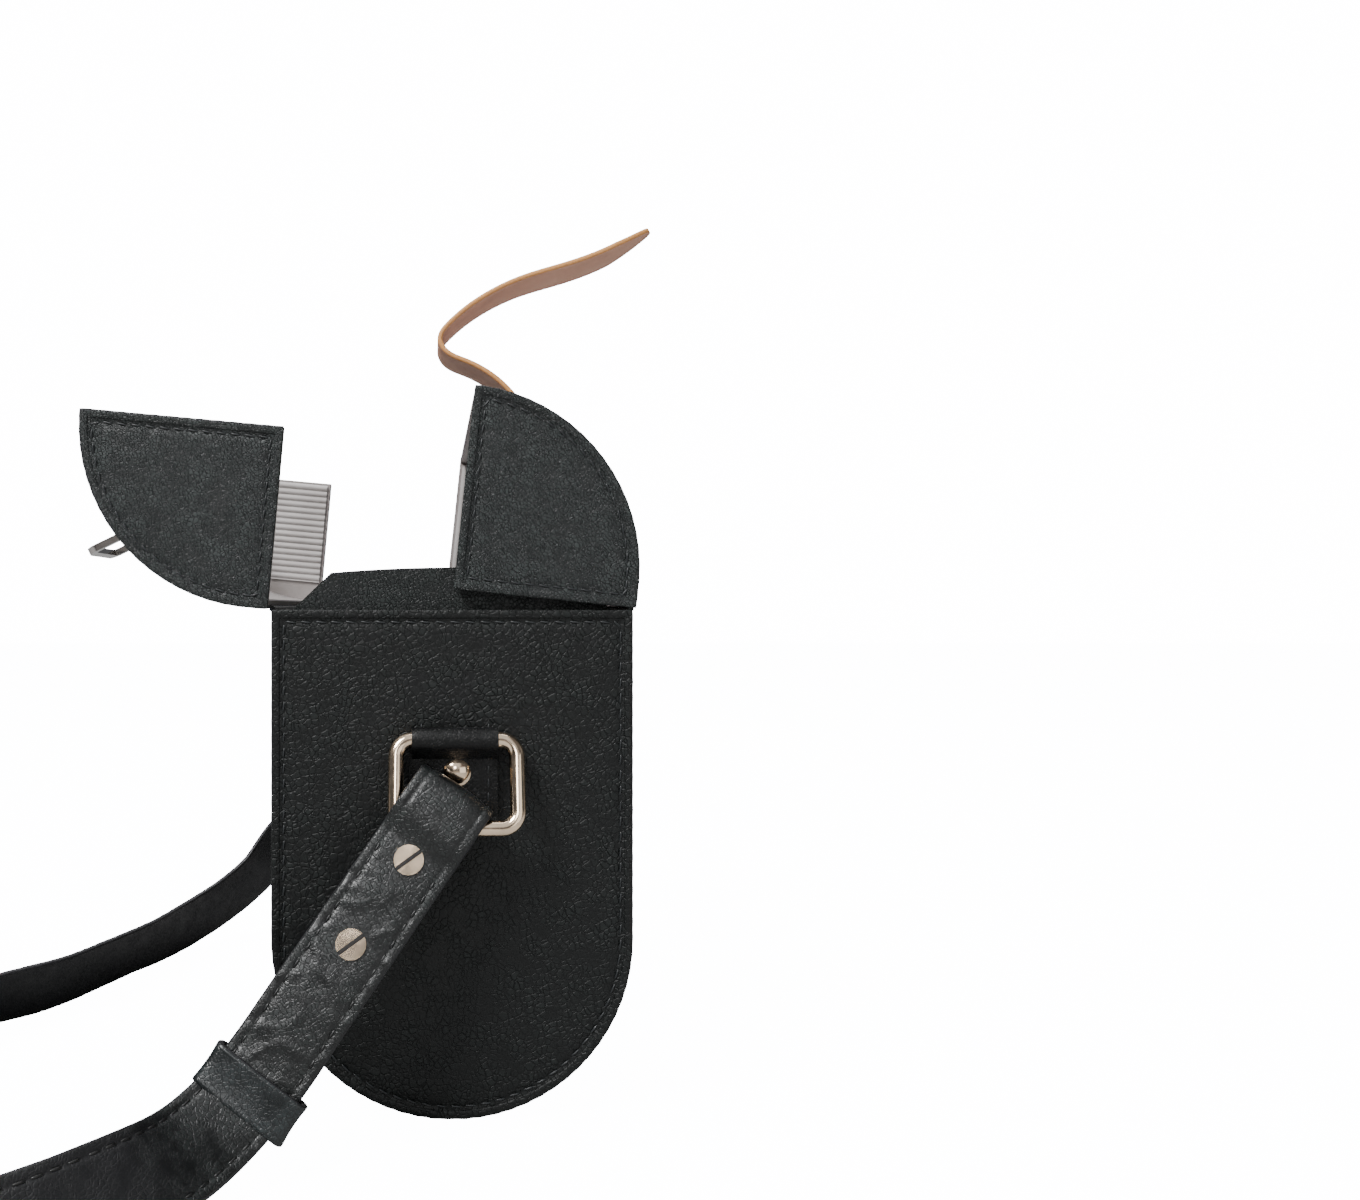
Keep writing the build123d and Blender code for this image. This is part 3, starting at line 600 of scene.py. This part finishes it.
near_place, near_down, near_across = strap_frame(55.2, -13.015, -7.112)
far_place, far_down, far_across = strap_frame(45.0, -10.7, 0.0)
flip = np.array([1.0, -1.0, 1.0])
route = [((-64.8, -121.5, 14.8), (-0.74, 0.24, 0.63)), ((-76.0, -138.5, 13.6), (-0.50, 0.36, 0.79)),
         ((-89.0, -151.5, 12.9), (-0.32, 0.33, 0.89)), ((-103.0, -163.0, 12.5), (-0.25, 0.35, 0.90)),
         ((-122.0, -169.0, 12.3), (-0.08, 0.33, 0.94)), ((-146.0, -169.0, 12.4), (0.06, 0.34, 0.94)),
         ((-170.0, -157.0, 12.4), (0.22, 0.26, 0.94)), ((-186.0, -132.0, 12.4), (0.32, 0.11, 0.94)),
         ((-191.0, -100.0, 12.4), (0.34, 0.0, 0.94)), ((-185.0, -66.0, 12.3), (0.34, -0.11, 0.93)),
         ((-173.0, -38.0, 12.3), (0.40, -0.16, 0.90)), ((-157.4, -10.9, 12.0), (0.50, -0.20, 0.84)),
         ((-146.7, 0.1, 11.9), (0.46, -0.20, 0.87)), ((-136.8, 16.5, 12.0), (0.42, -0.20, 0.89)),
         ((-123.2, 44.2, 12.6), (0.38, -0.27, 0.89)), ((-108.0, 79.0, 14.5), (0.03, -0.45, 0.89)),
         ((-84.5, 100.0, 30.2), (-0.22, -0.60, 0.77)), ((-66.1, 103.5, 49.4), (-0.50, -0.40, 0.74))]


def upward(v):
    return v if v[2] > 0 else -v


near_run = [near_place + near_down * s + ring_out for s in (34, 48, 62, 76, 90)]
far_run = [(far_place + far_down * s + ring_out) * flip for s in (58, 46, 34)]
places = near_run + [np.array(p) for p, _ in route] + far_run
uppers = [upward(near_across)] * 5 + [np.array(u) for _, u in route] + [upward(far_across * flip)] * 3
loop_line, _, loop_track, loop_knots = smooth_line(places, 1.0)
sides = -np.array([u / np.linalg.norm(u) for u in uppers])
loop_across = np.stack([np.interp(loop_track, loop_knots, sides[:, k]) for k in range(3)], axis=1)
loop_out = np.cross(directions(loop_line), loop_across)
loop_out /= np.linalg.norm(loop_out, axis=1)[:, None]
split = len(loop_line) // 2


def strap_half(points, across, step=0.9):
    """A smooth line with its width direction, from coarse points."""
    line, _, track, knots = smooth_line(points, step)
    return line, np.stack([np.interp(track, knots, np.array(across)[:, k]) for k in range(3)], axis=1)


# The second layer lies behind the first to about 166 mm below the near fold, well past the
# keeper, and splays away from it towards its cut end.
second = 132
front_from = second + 62
behind = list(range(second, 9, -10))
front = list(range(10, split - 3, 8)) + [split]
fold = fold_points(near_place, near_down, 1.05)[::-1]
splay = [2.05 + 3.2 * max(0.0, (i - 72) / 60) ** 1.5 for i in behind]
coarse = [loop_line[i] - loop_out[i] * gap for i, gap in zip(behind, splay)] + fold
coarse += [loop_line[i] for i in front]
widths = [loop_across[i] for i in behind] + [loop_across[0]] * len(fold)
widths += [loop_across[i] for i in front]
near_line, near_width = strap_half(coarse, widths)


# A thin dark strip, painted shadow for the slot, lies over the slot of each near screw, because the strap's
# crown fills it.
cut_verts, cut_faces = [], []
screw_steps = (25.0, 52.4)
for step in screw_steps:
    turn = radians(-20.0)
    along = near_down * cos(turn) + near_across * sin(turn)
    flat = near_across * cos(turn) - near_down * sin(turn)
    middle = near_place + near_down * step + ring_out * 3.16
    start = len(cut_verts)
    for length, width, lift in ((4.0, 0.42, 0.07), (3.7, 0.36, 0.08)):
        for a, b in ((-1, -1), (1, -1), (1, 1), (-1, 1)):
            cut_verts.append(middle + along * length * a + flat * width * b + ring_out * lift)
    cut_faces += [tuple(start + k for k in (4, 5, 6, 7))]
    cut_faces += [(start + k, start + (k + 1) % 4, start + 4 + (k + 1) % 4, start + 4 + k) for k in range(4)]
slot_dark = plain("slot_shadow", "#1a1512", 0.6)
build("near_screw_slot_shadows", cut_verts, cut_faces, slot_dark, "near_ring")


def crease_here(s):
    """Creasing is strongest between the fold and the keeper, where the strap flexes."""
    return np.interp(s - front_from, [-40, 6, 20, 62, 80, 140], [0.15, 0.5, 1.0, 0.8, 0.35, 0.2])


reach = np.concatenate([[0], np.cumsum(np.linalg.norm(np.diff(near_line, axis=0), axis=1))])
seats = []
for step in screw_steps:
    gap = np.linalg.norm(near_line - (near_place + near_down * step + ring_out), axis=1)
    seats.append(reach[int(gap.argmin())])
near_strap, near_track = ribbon("near_strap", near_line, near_width,
                                np.full(len(near_line), strap_half_width), strap_thickness, strap_skin,
                                strap_edge, None, ["near_strap_end", "strap_middle", "strap_tail"],
                                creases(crease_here, seats), 44)
near_stitches = band_stitches("near_strap_stitches", near_track, strap_half_width, 2.9, 1, front_from,
                              front_from + 190, None, 1.95)
for piece in (near_strap, near_stitches):
    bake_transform(piece)

fold = [p * flip for p in fold_points(far_place, far_down)]
picked = list(range(split - 1, len(loop_line) - 10, 8))
coarse = [loop_line[i] for i in picked] + fold
coarse += [(far_place + far_down * s - ring_out) * flip for s in (46, 56, 66)]
widths = [loop_across[i] for i in picked] + [loop_across[-1]] * (len(coarse) - len(picked))
far_line, far_width = strap_half(coarse, widths)
far_strap, _ = ribbon("far_strap", far_line, far_width, np.full(len(far_line), strap_half_width),
                      strap_thickness, strap_far_shaded_skin, strap_edge, None, ["far_strap_end"],
                      creases(lambda s: 0.25))
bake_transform(far_strap)


# ---- Keeper ----
# A band of smoother leather wrapped round both layers, with rounded shoulders and its two
# ends butted behind the strap.
band_line = []
for (sx, sz), start in zip(((1, 1), (1, -1), (-1, -1), (-1, 1)), (90, 0, -90, -180)):
    for a in np.linspace(start, start - 90, 9):
        band_line.append((sx * 11.9 + 1.9 * cos(radians(a)), sz * 1.7 + 1.9 * sin(radians(a))))
back_k = 18
band_line = [(0.2, -3.6)] + band_line[back_k:] + band_line[:back_k] + [(0.5, -3.6)]
wrap = np.array([near_place + near_down * 97.9 + near_across * u + ring_out * w for u, w in band_line])
wrap_line, _, _, _ = smooth_line(wrap, 0.6)
keeper_skin = leather("bridle_leather_smooth", "#0e1213", "#262d2e", 0.0012, 0.00006, 0.32, 0.55, True)
ribbon("keeper_band", wrap_line, np.tile(near_down, (len(wrap_line), 1)), np.full(len(wrap_line), 5.8), 1.9,
       keeper_skin, strap_edge, "keeper", ["strap_keeper"],
       lambda s, v, half, level: 0.45 * (1 - (v / half) ** 2), 14)


# ---- Ring tabs ----
# Strips of thin leather folded over the top bar of each ring and riveted below it, with a row
# of stitches down each long edge.
tab_hide = leather("ring_tab_leather", "#060707", "#0f1111", 0.0010, 0.00012, 0.40, 0.3)
paint(tab_hide, "near_ring_tab", "far_ring_tab")
for side, body, end in ((-1, "body", "near"), (1, "body", "far")):
    tab_verts, tab_faces = [], []
    for edge in (-9.0, 10.6):
        for k in range(7):
            spot = Vector((edge, side * 80.72, 91.0 + 4.0 * k))
            stitch_shape(tab_verts, tab_faces, spot, Vector((0, 0, 1)), Vector((0, side, 0)), 2.9, 0.62, 0.2)
    build(f"{end}_ring_tab_stitches", tab_verts, tab_faces, thread, body)


# ---- Closing tab ----
# Vegetable-tanned tan leather with raw cut edges, fixed to the back lid's curve and standing
# up in an S, narrowing to a point.
def tan_leather(name, light, dark, pink):
    material, tree, skin = shader(name)
    place = add(tree, "TexCoord").outputs["Object"]
    cloud = add(tree, "TexNoise", Vector=place, Scale=55.0, Detail=4.0).outputs["Fac"]
    pores = add(tree, "TexNoise", Vector=place, Scale=1500.0, Detail=3.0).outputs["Fac"]
    base = ramp(tree, cloud, [(0.25, colour(dark)), (0.5, colour(pink)), (0.75, colour(light))])
    tree.links.new(base, skin.inputs["Base Color"])
    bump = add(tree, "Bump", Strength=1.0, Distance=0.00005, Height=pores)
    tree.links.new(bump.outputs["Normal"], skin.inputs["Normal"])
    skin.inputs["Roughness"].default_value = 0.52
    skin.inputs["Specular IOR Level"].default_value = 0.35
    return material


tab_skin = tan_leather("tan_leather_grain", "#e0b199", "#c08d73", "#d6a388")
tab_edge = plain("tan_leather_cut_edge", "#d99a5b", 0.6, grain=0.00005)
turn = radians(back_open)
lid_rise = 6.75
lid_centre = (hinge_x - lid_radius * cos(turn) + lid_rise * sin(turn),
              hinge_z + lid_radius * sin(turn) + lid_rise * cos(turn))
seat_radius = lid_radius + 0.3 + 0.9
sewn = [(lid_centre[0] + seat_radius * cos(radians(a)), 0, lid_centre[1] + seat_radius * sin(radians(a)))
        for a in (13.9, 20, 26, 32, 36.9)]
leave_at = (sewn[-1][0], sewn[-1][2])
free = [(-12.0, 15.9), (-25.7, 34.1), (-39.3, 42.6), (-46.6, 46.6), (-48.2, 50.2), (-44.6, 56.2),
        (-33.0, 65.2), (-20.0, 71.6), (-5.2, 76.2), (14.2, 83.6), (28.0, 92.0)]
tab_line, tab_reach, _, _ = smooth_line(sewn + [(leave_at[0] + x, 0, leave_at[1] + z) for x, z in free], 0.8)
left = tab_reach[-1] - tab_reach
point = 16
tab_half = np.where(left < point, 1.0 + 11.0 * np.sqrt(np.clip(left / point, 0, 1)), 12.0)
tab_piece, _ = ribbon("closing_tab_leather", tab_line, np.tile([0.0, 1.0, 0.0], (len(tab_line), 1)), tab_half,
                      1.8, tab_skin, tab_edge, None, ["closing_tab", "tab_root"])
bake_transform(tab_piece)


# ---- Setting ----
# A pale floor, soft lights above on the left, above behind and low in front, a small lamp for
# glints on the metal, and a camera level with the bag's mouth.
floor_mesh = bmesh.new()
bmesh.ops.create_grid(floor_mesh, x_segments=1, y_segments=1, size=4.0)
floor_data = bpy.data.meshes.new("floor")
floor_mesh.to_mesh(floor_data)
floor_mesh.free()
floor = bpy.data.objects.new("floor", floor_data)
bpy.context.scene.collection.objects.link(floor)
floor_paint, floor_tree, floor_skin = shader("pale_floor")
floor_skin.inputs["Base Color"].default_value = colour("#a8a8a8")
floor_skin.inputs["Roughness"].default_value = 0.9
floor_skin.inputs["Emission Color"].default_value = colour("#f6f7fa")
lit = add(floor_tree, "LightPath").outputs["Is Camera Ray"]
glow = add(floor_tree, "Math", {"operation": "MULTIPLY"}, n0=lit, n1=16.0).outputs["Value"]
floor_tree.links.new(glow, floor_skin.inputs["Emission Strength"])
floor_data.materials.append(floor_paint)

world = bpy.data.worlds.new("studio")
world.use_nodes = True
sky = world.node_tree
back = next(n for n in sky.nodes if n.type == "BACKGROUND")
seen = add(sky, "LightPath").outputs["Is Camera Ray"]
power = add(sky, "MapRange", Value=seen, n1=0.0, n2=1.0, n3=0.9, n4=16.0)
sky.links.new(power.outputs["Result"], back.inputs["Strength"])
facing = add(sky, "SeparateXYZ", Vector=add(sky, "TexCoord").outputs["Generated"])
height = add(sky, "MapRange", Value=facing.outputs["Z"], n1=-1.0, n2=1.0).outputs["Result"]
aside = add(sky, "Math", {"operation": "ABSOLUTE"}, n0=facing.outputs["X"]).outputs["Value"]
walls = ramp(sky, aside, [(0.0, colour("#ffffff")), (0.28, colour("#f0f0f0")), (0.45, colour("#3a2c24")),
                          (0.80, colour("#2c2422")), (0.95, colour("#c8c8c8"))])
room = ramp(sky, height, [(0.30, colour("#5c5856")), (0.44, colour("#2c2827")), (0.50, colour("#d0ccc8")),
                          (0.60, colour("#54565a")), (0.80, colour("#f4f6fa"))])
shown = add(sky, "Mix", {"data_type": "RGBA"}, n0=seen)
lit_room = add(sky, "Mix", {"data_type": "RGBA", "blend_type": "MULTIPLY"}, n0=0.85, n6=room, n7=walls)
sky.links.new(lit_room.outputs[2], shown.inputs[6])
shown.inputs[7].default_value = colour("#fdfdff")
sky.links.new(shown.outputs[2], back.inputs["Color"])
bpy.context.scene.world = world


def soft_light(name, place, target, size, power):
    data = bpy.data.lights.new(name, "AREA")
    data.shape, data.size, data.size_y, data.energy = "RECTANGLE", size, size, power
    lamp = bpy.data.objects.new(name, data)
    lamp.location = place
    lamp.rotation_euler = (Vector(target) - Vector(place)).to_track_quat("-Z", "Y").to_euler()
    bpy.context.scene.collection.objects.link(lamp)


soft_light("key_light", (-0.9, -0.9, 1.5), (0, 0, 0.1), 0.6, 50)
soft_light("fill_light", (0.9, -1.3, 0.3), (0, 0, 0.05), 1.0, 4.5)
soft_light("strip_light", (-0.22, -1.1, 0.62), (0, -0.08, 0.1), 0.22, 2.0)
soft_light("top_light", (0.1, 0.5, 1.6), (0, 0, 0.1), 1.2, 16)

lens = bpy.data.cameras.new("camera")
lens.lens, lens.sensor_width = 29.36, 36.0
lens.shift_x, lens.shift_y = 0.1831, 0.0037
lens.clip_start = 0.01
camera = bpy.data.objects.new("camera", lens)
camera.location = (-0.0062, -0.4045, 0.151)
camera.rotation_euler = (radians(90), 0, 0)
bpy.context.scene.collection.objects.link(camera)
bpy.context.scene.camera = camera
